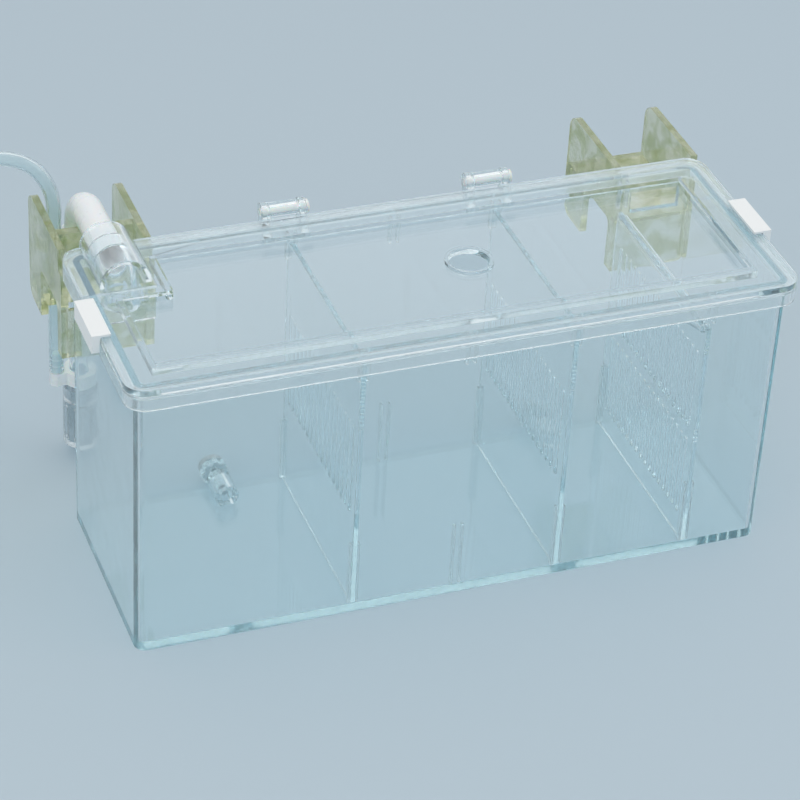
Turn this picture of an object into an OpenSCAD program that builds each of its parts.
// Hang-on fish breeding box, in millimetres.
// Origin: centre of the underside of the tank. +X to the right, front faces -Y, +Z up.

/* [Tank] */
// Length of the tank over its walls, left to right
box_len = 262; // [240:1:300]
// Depth of the tank over its walls, front to back
box_depth = 92; // [84:1:110]
// Height of the tank's rim above its underside
box_h = 121.5; // [115:0.5:140]
// Thickness of the tank walls
wall = 2.5; // [2:0.1:3]
// Thickness of the tank floor
floor_t = 3; // [2.5:0.1:4]
// Outer radius of the tank's upright corners
corner_r = 4.5; // [4:0.5:5]
// How far the rim stands out past the walls
rim_over = 4; // [3.5:0.1:5]
// Height of the rim's outer band
rim_h = 6.5; // [5:0.5:8]
// Thickness of the rim's moulded section
rim_t = 1.8; // [1.5:0.1:2]

/* [Chambers] */
// Distance between neighbouring divider grooves
groove_pitch = 43; // [36:1:45]
// Thickness of the slide-in panels
panel_t = 2; // [1.6:0.1:2.4]
// Thickness of each groove rib
rib_t = 1; // [0.8:0.1:1.2]
// How far a groove rib stands out from the wall
rib_out = 2; // [1.5:0.1:2.5]
// Height of the lower groove ribs
rib_low_h = 29; // [24:1:34]
// Height of the upper groove ribs
rib_top_h = 13; // [10:1:16]
// Gap between the divider panels and the lid's tray
divider_top_gap = 2; // [1.5:0.5:4]
// Width of the outflow chamber behind the screen
outflow_w = 28.5; // [26:0.5:29]
// Height of the outflow screen
screen_h = 103; // [98:1:104]
// Height of the weir at the bottom of the outflow window
weir_z = 104.5; // [103:0.5:107]
// Width of a flow slot in the panels
slot_w = 1.6; // [1.2:0.1:2]
// Distance between neighbouring flow slots
slot_pitch = 4.6; // [4:0.1:5.4]

/* [Lid] */
// Thickness of the lid
lid_t = 2.5; // [2:0.1:3]
// Depth of the lid's sunken tray
tray_drop = 4; // [3:0.5:5]
// Thickness of the tray's walls and panel
tray_t = 1.8; // [1.5:0.1:2.2]
// Width of the lid's flat border along its front
border_front = 15; // [13:0.5:18]
// Width of the lid's flat border along its back
border_back = 12; // [11:0.5:14]
// Width of the lid's flat border at its ends
border_side = 13; // [12:0.5:15]
// Width of the lid's cut-out for the water outlet
notch_w = 30; // [29.5:0.5:31]
// Depth of the lid's cut-out for the water outlet
notch_d = 34; // [33:0.5:36]
// Radius of the feeding hole
feed_r = 8.25; // [7:0.25:10]
// Place of the feeding hole along X
feed_x = 17.5; // [-30:0.5:30]
// Place of the feeding hole along Y
feed_y = 5.5; // [-10:0.5:10]
// Length of a finger grip on the lid's end
grip_len = 25; // [20:1:30]
// Width of a finger grip out from the lid's end
grip_out = 3.5; // [3:0.5:5]

/* [Hinges] */
// Distance of each hinge from the middle of the tank
hinge_x = 43; // [35:1:60]
// Radius of the hinge pins
pin_r = 1.5; // [1.2:0.1:1.8]
// Outer radius of the lid's hinge barrels
barrel_r = 3.4; // [3.1:0.1:3.6]
// Length of each hinge barrel
barrel_len = 12; // [9:0.5:15]
// Thickness of each hinge ear
ear_t = 3; // [2.5:0.1:4]

/* [Hangers] */
// Thickness of the hook plates
plate_t = 3; // [2.5:0.1:3.5]
// Distance between the two plates of a hanger, middle to middle
hanger_pitch = 34.25; // [33.5:0.25:35]
// How far back the hooks reach behind the tank's rim
hook_reach = 46; // [45.5:0.5:50]
// Width of the slot that takes the aquarium's rim
rim_slot = 26; // [22:0.5:26]
// Depth of a hook's bridge, from its top edge to the slot
bridge_h = 26; // [25.5:0.5:27]
// Depth of the slot, from its top to the foot of the hook
hook_drop = 22; // [18:1:26]
// Radius of a hook's rounded corners
hook_r = 6; // [4:0.5:7]

/* [Air lift] */
// Outer radius of the white return tube
tube_r = 6.25; // [6:0.05:6.4]
// Wall of the white return tube
tube_wall = 1.15; // [1:0.05:1.2]
// Bend radius of the return tube, at its middle
tube_bend = 14; // [13:0.5:15]
// Outer radius of the clear lift tube
lift_r = 5; // [4.8:0.05:5]
// Wall of the clear lift tube
lift_wall = 1; // [0.8:0.1:1.2]
// Outer radius of the water spout's sleeve
spout_r = 7.6; // [7.5:0.05:7.8]
// Bend radius of the spout, at its middle
spout_bend = 9; // [8.5:0.5:10]
// Outer radius of the intake strainer
strainer_r = 8; // [7.6:0.1:9]
// Height of the intake strainer
strainer_h = 28; // [24:1:32]
// Height of the strainer's foot above the tank's underside
strainer_z = 6; // [3:0.5:12]
// Distance of the airline from the lift tube, middle to middle
airline_off = 10.6; // [10.4:0.1:11]
// Outer radius of the airline
airline_r = 3; // [2.8:0.1:3]

/* [Levelling feet] */
// Distance of each levelling foot from the middle of the tank
foot_x = 71.3; // [60:0.1:80]
// Height of each levelling foot above the tank's underside
foot_z = 7; // [6.8:0.1:9]
// Radius of the levelling screw's shaft
screw_r = 2.5; // [2:0.1:2.8]
// Radius of the levelling knob
knob_r = 6; // [5.4:0.1:6.4]
// Thickness of the levelling knob
knob_t = 4; // [3:0.5:5]
// Length of the levelling screw's shaft at the inner side of its knob
shaft_len = 12.5; // [10:0.5:14]
// Gap between the knob and the tank wall when new
knob_gap = 2; // [1.8:0.1:3]

/* [Fits] */
// Radial clearance of pins and shafts
run_fit = 0.06; // [0.03:0.01:0.09]
// Clearance of a slide-in panel in its groove, each side
slide_gap = 0.15; // [0.1:0.05:0.3]
// Gap under the lid and round its moving edges
lid_gap = 0.3; // [0.2:0.05:0.5]

/* [Hidden] */
$fn = 48;
// Overlap that fuses two shapes of one piece, and overshoot of a cutting shape
eps = 0.01;
cut = 1;

// Tank
half_len = box_len / 2;
half_depth = box_depth / 2;
in_len = box_len - 2 * wall;
in_depth = box_depth - 2 * wall;
in_back = in_depth / 2;
rim_x = half_len + rim_over;
rim_y = half_depth + rim_over;
groove_gap = panel_t + 2 * slide_gap;
screen_x = in_len / 2 - outflow_w - panel_t / 2;
groove_at = [-groove_pitch, 0, groove_pitch, screen_x];
rib_below_rim = 1;
window_margin = rib_out + 1.5;

// Lid
lid_z = box_h + lid_gap;
top_z = lid_z + lid_t;
tray_z = top_z - tray_drop - tray_t;
tray_x = rim_x - border_side;
tray_front = -rim_y + border_front;
tray_back = rim_y - border_back;
notch_x = -rim_x + notch_w;
notch_y = rim_y - notch_d;
notch_land = 3;
ring_w = 1.4;
ring_h = 1.2;

// Hinges
ear_r = barrel_r + 0.4;
ear_gap = 0.4;
hinge_y = rim_y + ear_r + ear_gap;
barrel_strap = 4;
hinge_z = lid_z + barrel_r;
ear_side = barrel_len / 2 + lid_gap + ear_t / 2;
pin_head_t = 1.2;
pin_head_r = pin_r + pin_head_t;

// Hangers
outer_plate = rim_x - plate_t / 2;
inner_plate = outer_plate - hanger_pitch;
hook_back = rim_y + hook_reach;
slot_top = top_z - bridge_h;
hook_foot = slot_top - hook_drop;
front_leg = 2;
slot_front = rim_y + front_leg;
slot_back = slot_front + rim_slot;
flange_t = 2;
chute_t = 2;
saddle_t = 4;

// Air lift
tube_x = -(outer_plate + inner_plate) / 2;
tube_z = top_z;
lift_y = (slot_back + hook_back) / 2;
tube_bore = tube_r - tube_wall;
tube_foot = slot_top;
tube_in_spout = 14;
tube_front = rim_y - tube_in_spout;
tube_socket = 10;
seat_gap = 0.15;
spout_stop = 1;
spout_back = in_back - lid_gap;
spout_turn = tube_front + spout_stop;
spout_drop = 5;
spout_mouth = tube_z - spout_bend - spout_drop;
hood_t = 2;
hood_gap = 0.5;
hood_top = lid_z - lid_gap + lid_t;
hood_over_weir = 3.5;
hood_low = weir_z + hood_over_weir;
hood_arch_r = spout_r + hood_gap;
hood_x = notch_x - hood_gap;
hood_y = notch_y + hood_gap;
arch_front = hood_y + hood_t + 1;
strainer_cap = 6;
strainer_wall = 1.5;
strainer_top = strainer_z + strainer_h;
strainer_bore = strainer_r - strainer_wall;
strainer_slots = 10;
collar_gap = 2;
collar_wall = 2.5;
collar_z = strainer_top + collar_gap;
collar_h = 6;
collar_r = lift_r + collar_wall;
airline_x = tube_x - airline_off;
barb_z = collar_z + collar_h;
barb_h = 9;
barb_rings = 3;
clip_h = 6;
clip_t = 1.5;
clip_gap = 4;
guide_z = hook_foot + clip_gap;
clip_z = tube_foot + clip_gap;

// Levelling feet
shaft_gap = 1;
bore_len = shaft_len + shaft_gap;
sleeve_wall = 2.5;
sleeve_r = screw_r + sleeve_wall;
sleeve_t = 1.5;
knob_y = half_depth + knob_gap;
lobes = 8;
lobe_r = 1.4;
pad_t = 2.5;
pad_r = knob_r - 0.6;
pad_gap = 0.3;
pad_y = knob_y + knob_t + pad_gap;
nub_r = 1.4;
nub_len = 1.8;

// Airline: the route of its loose stretch, measured from the collar's shoulder
route = [
    [0, 0, 0], [0, 0, 10], [0, 0, 22], [0, 0, 34], [0, 0, 46], [0, 0, 58],
    [0, 0, 70], [0, 0, 79], [-2, 0, 88], [-7, 1, 96], [-15, 2, 101],
    [-25, 3, 102], [-34, 4, 97], [-40, 5, 88], [-44, 5, 77], [-46, 5, 64],
    [-47, 5, 51], [-47, 5, 38], [-47, 5, 25], [-47, 5, 12], [-47, 6, 0],
    [-47, 8, -12], [-47, 12, -23], [-47, 18, -32], [-47, 27, -37.4], [-47, 37, -38.4],
    [-47, 47, -38.4],
];
coil_r = 33;
coil_half = 2 * airline_r;
coil_strap_t = 0.6;
coil_x = -210;
coil_y = 134;
sides = 8;

module rounded_rect(x, y, r) {
    square([x - 2 * r, y], center = true);
    square([x, y - 2 * r], center = true);
    for (sx = [-1, 1], sy = [-1, 1])
        translate([sx * (x / 2 - r), sy * (y / 2 - r)])
            circle(r);
}

module rounded_slab(x, y, z0, z1, r) {
    translate([0, 0, z0])
        linear_extrude(z1 - z0)
            rounded_rect(x, y, r);
}

// A block given by its lowest and highest corners
module block(low, high) {
    translate(low)
        cube(high - low);
}

// A cylinder along X, Y or Z that starts at a point
module rod_x(start, r, len) {
    translate(start)
        rotate([0, 90, 0])
            cylinder(r = r, h = len);
}

module rod_y(start, r, len) {
    translate(start)
        rotate([-90, 0, 0])
            cylinder(r = r, h = len);
}

module rod_z(start, r, len) {
    translate(start)
        cylinder(r = r, h = len);
}

module both_sides() {
    for (side = [-1, 1])
        scale([side, 1, 1])
            children();
}

// Tank: walls and floor, with the sleeves of the levelling screws. Its rim and its groove
// ribs are moulded with it, and are drawn as nodes that meet its walls face to face
module shell() {
    difference() {
        rounded_slab(box_len, box_depth, 0, box_h, corner_r);
        rounded_slab(in_len, in_depth, floor_t, box_h + cut, corner_r - wall);
    }
}

module rim_band() {
    difference() {
        rounded_slab(2 * rim_x, 2 * rim_y, box_h - rim_h, box_h, corner_r + rim_over);
        rounded_slab(box_len, box_depth, box_h - rim_h - cut, box_h + cut, corner_r);
        rounded_slab(
            2 * (rim_x - rim_t), 2 * (rim_y - rim_t),
            box_h - rim_h - cut, box_h - rim_t, corner_r + rim_over - rim_t
        );
    }
}

module rib_rows(z0, z1) {
    for (x = groove_at, side = [-1, 1], wall_side = [-1, 1])
        translate([
            x + side * (groove_gap + rib_t) / 2 - rib_t / 2,
            wall_side * (in_back - rib_out / 2) - rib_out / 2,
            z0
        ])
            cube([rib_t, rib_out, z1 - z0]);
}

module tube_notch() {
    rod_y([tube_x, 0, tube_z], tube_r + seat_gap, rim_y + cut);
}

module sleeve(x) {
    rod_y([x, half_depth - bore_len - sleeve_t, foot_z], sleeve_r, bore_len + sleeve_t - eps);
}

module screw_bore(x) {
    rod_y([x, half_depth - bore_len, foot_z], screw_r + run_fit, bore_len + cut);
}

module hinge_ear(x) {
    difference() {
        union() {
            rod_x([x - ear_t / 2, hinge_y, hinge_z], ear_r, ear_t);
            block(
                [x - ear_t / 2, rim_y - rim_t / 2, box_h - rim_h],
                [x + ear_t / 2, hinge_y + ear_r / 2, box_h - lid_gap]
            );
            block(
                [x - ear_t / 2, hinge_y - ear_r, box_h - rim_t],
                [x + ear_t / 2, hinge_y + ear_r / 2, hinge_z]
            );
        }
        rod_x([x - ear_t, hinge_y, hinge_z], pin_r + run_fit, 2 * ear_t);
    }
}

module container() {
    color([0.82, 0.93, 0.96, 0.5])
    difference() {
        union() {
            shell();
            sleeve(-foot_x);
            sleeve(foot_x);
        }
        screw_bore(-foot_x);
        screw_bore(foot_x);
        block(
            [screen_x + panel_t / 2 + window_margin, in_back - cut, weir_z],
            [in_len / 2 - window_margin, half_depth + cut, box_h - rim_h]
        );
        tube_notch();
    }
}

module tank_rim() {
    color([0.82, 0.93, 0.96, 0.5])
    union() {
        difference() {
            rim_band();
            tube_notch();
        }
        for (side = [-1, 1], end = [-1, 1])
            hinge_ear(side * hinge_x + end * ear_side);
    }
}

module groove_ribs() {
    color([0.82, 0.93, 0.96, 0.5])
    union() {
        rib_rows(floor_t, floor_t + rib_low_h);
        rib_rows(box_h - rib_top_h, box_h - rib_below_rim);
    }
}

// Lid: flat border, sunken tray, feeding hole with its raised lip, and two hinge barrels
module tray_outline(inset) {
    difference() {
        translate([-tray_x + inset, tray_front + inset])
            square([2 * (tray_x - inset), tray_back - tray_front - 2 * inset]);
        translate([-rim_x, notch_y - notch_land - inset])
            square([notch_w + notch_land + inset, notch_d + notch_land + inset]);
    }
}

module lid_barrel(x) {
    difference() {
        union() {
            rod_x([x - barrel_len / 2, hinge_y, hinge_z], barrel_r, barrel_len);
            block(
                [x - barrel_len / 2, rim_y - barrel_strap, lid_z],
                [x + barrel_len / 2, hinge_y, top_z]
            );
        }
        rod_x([x - barrel_len, hinge_y, hinge_z], pin_r + run_fit, 2 * barrel_len);
    }
}

module lid() {
    feed = [feed_x, feed_y, tray_z];
    color([0.88, 0.96, 1, 0.4])
    union() {
        difference() {
            union() {
                rounded_slab(2 * rim_x, 2 * rim_y, lid_z, top_z, corner_r + rim_over);
                translate([0, 0, tray_z])
                    linear_extrude(tray_drop + tray_t)
                        tray_outline(0);
            }
            translate([0, 0, tray_z + tray_t])
                linear_extrude(tray_drop + cut)
                    tray_outline(tray_t);
            block([-rim_x - cut, notch_y, tray_z - cut], [notch_x, rim_y + cut, top_z + cut]);
            rod_z(feed - [0, 0, cut], feed_r, tray_t + 2 * cut);
            block([-rim_x, rim_y - lid_gap, lid_z - cut], [rim_x, rim_y + cut, top_z + cut]);
        }
        difference() {
            rod_z(feed + [0, 0, tray_t - eps], feed_r + ring_w, ring_h);
            rod_z(feed, feed_r, tray_t + ring_h + cut);
        }
        lid_barrel(-hinge_x);
        lid_barrel(hinge_x);
    }
}

// Soft white grip moulded over the middle of each end of the lid
module lid_grip() {
    ledge = 4;
    lip = 1.2;
    skirt = 4;
    color([0.96, 0.97, 0.97])
    difference() {
        block(
            [rim_x - ledge, -grip_len / 2, lid_z - skirt],
            [rim_x + grip_out, grip_len / 2, top_z + lip]
        );
        block(
            [rim_x - ledge - cut, -grip_len / 2 - cut, lid_z - skirt - cut],
            [rim_x + lid_gap, grip_len / 2 + cut, lid_z]
        );
        block(
            [rim_x - ledge - cut, -grip_len / 2 - cut, lid_z - cut],
            [rim_x, grip_len / 2 + cut, top_z]
        );
    }
}

module left_lid_grip() {
    mirror([1, 0, 0])
        lid_grip();
}

module right_lid_grip() {
    lid_grip();
}

module hinge_pin(x) {
    len = 2 * (ear_side + ear_t / 2);
    color([0.85, 0.87, 0.88])
    union() {
        rod_x([x - len / 2, hinge_y, hinge_z], pin_r, len + pin_head_t);
        rod_x([x + len / 2, hinge_y, hinge_z], pin_head_r, pin_head_t);
    }
}

module left_hinge_pin() {
    hinge_pin(-hinge_x);
}

module right_hinge_pin() {
    hinge_pin(hinge_x);
}

// One hook plate, drawn as seen from the left end: its front leg lies on the tank's back wall
module hook_outline() {
    difference() {
        union() {
            translate([(rim_y + hook_back) / 2, (top_z + hook_foot) / 2])
                rounded_rect(hook_reach, top_z - hook_foot, hook_r);
            translate([rim_y, slot_top])
                square([hook_r + cut, top_z - slot_top]);
            translate([half_depth, hook_foot])
                square([slot_front - half_depth, box_h - rim_h - hook_foot]);
        }
        translate([slot_front, hook_foot - cut])
            square([rim_slot, slot_top - hook_foot + cut - hook_r / 2]);
        translate([slot_front + hook_r / 2, hook_foot - cut])
            square([rim_slot - hook_r, slot_top - hook_foot + cut]);
        for (y = [slot_front + hook_r / 2, slot_back - hook_r / 2])
            translate([y, slot_top - hook_r / 2])
                circle(hook_r / 2);
        translate([0, box_h - rim_h])
            square([rim_y, 2 * rim_h]);
    }
}

module hook_plate(x) {
    translate([x - plate_t / 2, 0, 0])
        rotate([90, 0, 90])
            linear_extrude(plate_t)
                hook_outline();
}

// The two plates of a hanger and the flange that joins them against the tank's back wall
module hanger_frame() {
    hook_plate(inner_plate);
    hook_plate(outer_plate);
    block(
        [inner_plate, half_depth, hook_foot],
        [outer_plate, half_depth + flange_t, slot_top]
    );
}

module left_hanger() {
    saddle_y = slot_front + (rim_slot - saddle_t) / 2;
    saddle_top = tube_z - tube_r / 4;
    color([0.75, 0.82, 0.72, 0.7])
    difference() {
        union() {
            scale([-1, 1, 1])
                hanger_frame();
            block(
                [-outer_plate, saddle_y, slot_top],
                [-inner_plate, saddle_y + saddle_t, saddle_top]
            );
            block(
                [-outer_plate, slot_back, guide_z],
                [-inner_plate, hook_back - flange_t, guide_z + clip_h]
            );
        }
        rod_y([tube_x, saddle_y - cut, tube_z], tube_r + seat_gap, saddle_t + 2 * cut);
        rod_z([tube_x, lift_y, guide_z - cut], lift_r + seat_gap, clip_h + 2 * cut);
        rod_z([airline_x, lift_y, guide_z - cut], airline_r + seat_gap, clip_h + 2 * cut);
    }
}

// Right hanger: its plates are the sides of the chute that returns the water
module right_hanger() {
    chute_lip = 9;
    color([0.75, 0.82, 0.72, 0.7])
    union() {
        hanger_frame();
        block(
            [inner_plate, half_depth, slot_top],
            [outer_plate, hook_back, slot_top + chute_t]
        );
        block(
            [inner_plate, hook_back - chute_t, slot_top - chute_lip],
            [outer_plate, hook_back, slot_top + eps]
        );
    }
}

// A slide-in panel: each row of flow slots is given by its lowest and highest height
module slotted_panel(x, top, rows) {
    half = in_back - slide_gap;
    count = floor((in_depth - 4 * rib_out) / slot_pitch / 2);
    difference() {
        block([x - panel_t / 2, -half, floor_t + eps], [x + panel_t / 2, half, top]);
        for (i = [-count:count], row = rows)
            block(
                [x - panel_t, i * slot_pitch - slot_w / 2, row[0]],
                [x + panel_t, i * slot_pitch + slot_w / 2, row[1]]
            );
    }
}

module outflow_screen() {
    top = floor_t + screen_h;
    lip_w = 2 * panel_t;
    lip_h = 3;
    lip_y = in_back - rib_out - 1;
    color([0.86, 0.95, 0.98, 0.5])
    union() {
        slotted_panel(screen_x, top, [[14, 50], [56, 92]]);
        block([screen_x - lip_w / 2, -lip_y, top - lip_h], [screen_x + lip_w / 2, lip_y, top]);
    }
}

module divider(x) {
    color([0.86, 0.95, 0.98, 0.5])
        slotted_panel(x, tray_z - divider_top_gap, [[44, 84]]);
}

module left_divider() {
    divider(-groove_pitch);
}

module right_divider() {
    divider(groove_pitch);
}

// Hood over the water outlet: fills the lid's cut-out and keeps splashes in
module outlet_hood() {
    inner_left = -in_len / 2 + lid_gap;
    inner_back = in_back - lid_gap;
    arch_len = rim_y - arch_front;
    arch_out = hood_arch_r + hood_t + cut;
    color([0.88, 0.96, 1, 0.45])
    difference() {
        union() {
            intersection() {
                rounded_slab(2 * rim_x, 2 * rim_y, box_h, hood_top, corner_r + rim_over);
                block([-rim_x, hood_y, box_h], [hood_x, rim_y, hood_top]);
            }
            rod_y([tube_x, arch_front, tube_z], hood_arch_r + hood_t, arch_len);
            block([inner_left, hood_y, hood_low], [hood_x, hood_y + hood_t, box_h + eps]);
            block([hood_x - hood_t, hood_y, hood_low], [hood_x, inner_back, box_h + eps]);
        }
        rod_y([tube_x, arch_front + hood_t, tube_z], hood_arch_r, arch_len);
        block(
            [tube_x - hood_arch_r, arch_front + hood_t, hood_low - cut],
            [tube_x + hood_arch_r, rim_y + cut, tube_z]
        );
        block(
            [tube_x - arch_out, hood_y + hood_t, hood_low - cut],
            [tube_x + arch_out, rim_y + cut, box_h]
        );
        block([-rim_x - cut, arch_front, 0], [inner_left, rim_y + cut, box_h]);
    }
}

// Clear spout: a sleeve that takes the return tube, then an elbow down to the water
module spout_solid(r, back_extra, mouth_extra) {
    turn_z = tube_z - spout_bend;
    rod_y([tube_x, spout_turn - eps, tube_z], r, spout_back - spout_turn + back_extra);
    translate([tube_x, spout_turn, turn_z])
        rotate([90, 0, 90])
            rotate([0, 0, 90])
                rotate_extrude(angle = 90)
                    translate([spout_bend, 0])
                        circle(r);
    rod_z(
        [tube_x, spout_turn - spout_bend, spout_mouth - mouth_extra],
        r, turn_z - spout_mouth + mouth_extra + eps
    );
}

module outlet_spout() {
    color([0.85, 0.93, 1, 0.5])
    difference() {
        spout_solid(spout_r, 0, 0);
        spout_solid(tube_bore, cut, cut);
        rod_y([tube_x, tube_front, tube_z], tube_r + run_fit, rim_y);
    }
}

// White return tube: over the aquarium's rim, then down to the lift tube
module tube_section() {
    difference() {
        circle(tube_r);
        circle(tube_bore);
    }
}

module return_tube() {
    turn_y = lift_y - tube_bend;
    turn_z = tube_z - tube_bend;
    front = tube_front + lid_gap;
    color([0.97, 0.98, 0.99])
    union() {
        translate([tube_x, front, tube_z])
            rotate([-90, 0, 0])
                linear_extrude(turn_y - front)
                    tube_section();
        translate([tube_x, turn_y, turn_z])
            rotate([90, 0, 90])
                rotate_extrude(angle = 90)
                    translate([tube_bend, 0])
                        tube_section();
        translate([tube_x, lift_y, tube_foot])
            linear_extrude(turn_z - tube_foot)
                tube_section();
    }
}

module lift_tube() {
    lift_foot = strainer_top - strainer_cap;
    len = tube_foot + tube_socket - lift_foot;
    color([0.85, 0.93, 1, 0.45])
    difference() {
        rod_z([tube_x, lift_y, lift_foot], lift_r, len);
        rod_z([tube_x, lift_y, lift_foot - cut], lift_r - lift_wall, len + 2 * cut);
    }
}

// Intake strainer: a slotted cup that the lift tube stands in
module intake_strainer() {
    foot_t = 2;
    ledge = 1;
    inside_h = strainer_h - strainer_cap - foot_t - ledge;
    color([0.9, 0.93, 0.95, 0.7])
    difference() {
        rod_z([tube_x, lift_y, strainer_z], strainer_r, strainer_h);
        rod_z([tube_x, lift_y, strainer_z + foot_t], strainer_bore, inside_h);
        rod_z([tube_x, lift_y, strainer_z + foot_t], lift_r + run_fit, strainer_h);
        for (i = [0:strainer_slots - 1])
            translate([tube_x, lift_y, strainer_z + foot_t + ledge])
                rotate([0, 0, (i + 0.5) * 360 / strainer_slots])
                    translate([lift_r, -slot_w / 2, 0])
                        cube([strainer_r, slot_w, inside_h - 3 * ledge]);
    }
}

// Air collar: a ring on the lift tube with the barbed nozzle for the airline
module air_collar() {
    barb_r = airline_r - 0.9;
    barb_step = barb_h / barb_rings;
    color([0.93, 0.95, 0.96])
    difference() {
        union() {
            rod_z([tube_x, lift_y, collar_z], collar_r, collar_h);
            block([airline_x, lift_y - airline_r, collar_z], [tube_x, lift_y + airline_r, barb_z]);
            rod_z([airline_x, lift_y, collar_z], airline_r, collar_h);
            for (i = [0:barb_rings - 1])
                translate([airline_x, lift_y, barb_z - eps + i * barb_step])
                    cylinder(r1 = barb_r, r2 = barb_r - 0.4, h = barb_step + eps);
        }
        rod_z([tube_x, lift_y, collar_z - cut], lift_r + run_fit, collar_h + 2 * cut);
    }
}

// Clip that holds the airline beside the return tube
module airline_clip() {
    color([0.9, 0.94, 0.96, 0.8])
    difference() {
        union() {
            rod_z([tube_x, lift_y, clip_z], tube_r + clip_t, clip_h);
            rod_z([airline_x, lift_y, clip_z], airline_r + clip_t, clip_h);
        }
        rod_z([tube_x, lift_y, clip_z - cut], tube_r + run_fit, clip_h + 2 * cut);
        rod_z([airline_x, lift_y, clip_z - cut], airline_r + run_fit, clip_h + 2 * cut);
        block(
            [tube_x, lift_y + tube_r / 2, clip_z - cut],
            [tube_x + 2 * tube_r, lift_y + 2 * tube_r, clip_z + clip_h + cut]
        );
    }
}

// Levelling foot: a lobed knob on a shaft that runs in the tank's blind sleeve
module levelling_screw(x) {
    color([0.88, 0.94, 0.97, 0.7])
    union() {
        rod_y([x, knob_y - shaft_len, foot_z], screw_r, shaft_len + eps);
        difference() {
            rod_y([x, knob_y, foot_z], knob_r, knob_t);
            for (i = [0:lobes - 1])
                translate([x, knob_y - cut, foot_z])
                    rotate([0, (i + 0.5) * 360 / lobes, 0])
                        rod_y([knob_r + lobe_r / 3, 0, 0], lobe_r, knob_t + 2 * cut);
        }
        rod_y([x, knob_y + knob_t - eps, foot_z], nub_r, nub_len);
    }
}

module left_levelling_screw() {
    levelling_screw(-foot_x);
}

module right_levelling_screw() {
    levelling_screw(foot_x);
}

module levelling_pad(x) {
    color([0.8, 0.82, 0.83])
    difference() {
        rod_y([x, pad_y, foot_z], pad_r, pad_t);
        rod_y([x, pad_y - cut, foot_z], nub_r + run_fit, cut + nub_len);
    }
}

module left_levelling_pad() {
    levelling_pad(-foot_x);
}

module right_levelling_pad() {
    levelling_pad(foot_x);
}

// Airline: a round tube swept along the route, each ring square to the route
function unit(v) = v / norm(v);
function route_point(i) = [airline_x, lift_y, barb_z] + route[i];
function tangent(i) = unit(
    route[min(i + 1, len(route) - 1)] - route[max(i - 1, 0)]
);
function carried(n, t) = unit(n - (n * t) * t);
normals = [
    for (i = 0, n = [0, 1, 0]; i < len(route);
         i = i + 1, n = i < len(route) ? carried(n, tangent(i)) : n)
        n
];
function ring(i) = [
    for (k = [0:sides - 1])
        let (a = k * 360 / sides)
            route_point(i)
                + airline_r * cos(a) * normals[i]
                + airline_r * sin(a) * cross(tangent(i), normals[i])
];

module airline() {
    count = len(route);
    points = [for (i = [0:count - 1]) each ring(i)];
    skin = [
        for (i = [0:count - 2], k = [0:sides - 1])
            let (a = i * sides + k, b = i * sides + (k + 1) % sides)
                each [[a, b + sides, b], [a, a + sides, b + sides]]
    ];
    start_cap = [[for (k = [0:sides - 1]) k]];
    end_cap = [[for (k = [sides - 1:-1:0]) (count - 1) * sides + k]];
    color([0.8, 0.9, 0.93, 0.6])
        polyhedron(points, concat(skin, start_cap, end_cap));
}

// The rest of the airline, wound into a flat round coil on the surface
module airline_coil() {
    color([0.8, 0.9, 0.93, 0.6])
    translate([coil_x, coil_y, 0])
        rotate_extrude()
            translate([coil_r - coil_half, 0])
                square([2 * coil_half, 2 * coil_half + coil_strap_t]);
}

container();
tank_rim();
groove_ribs();
lid();
left_lid_grip();
right_lid_grip();
left_hinge_pin();
right_hinge_pin();
left_hanger();
right_hanger();
outflow_screen();
left_divider();
right_divider();
outlet_hood();
outlet_spout();
return_tube();
lift_tube();
intake_strainer();
air_collar();
airline_clip();
left_levelling_screw();
right_levelling_screw();
left_levelling_pad();
right_levelling_pad();
airline();
airline_coil();
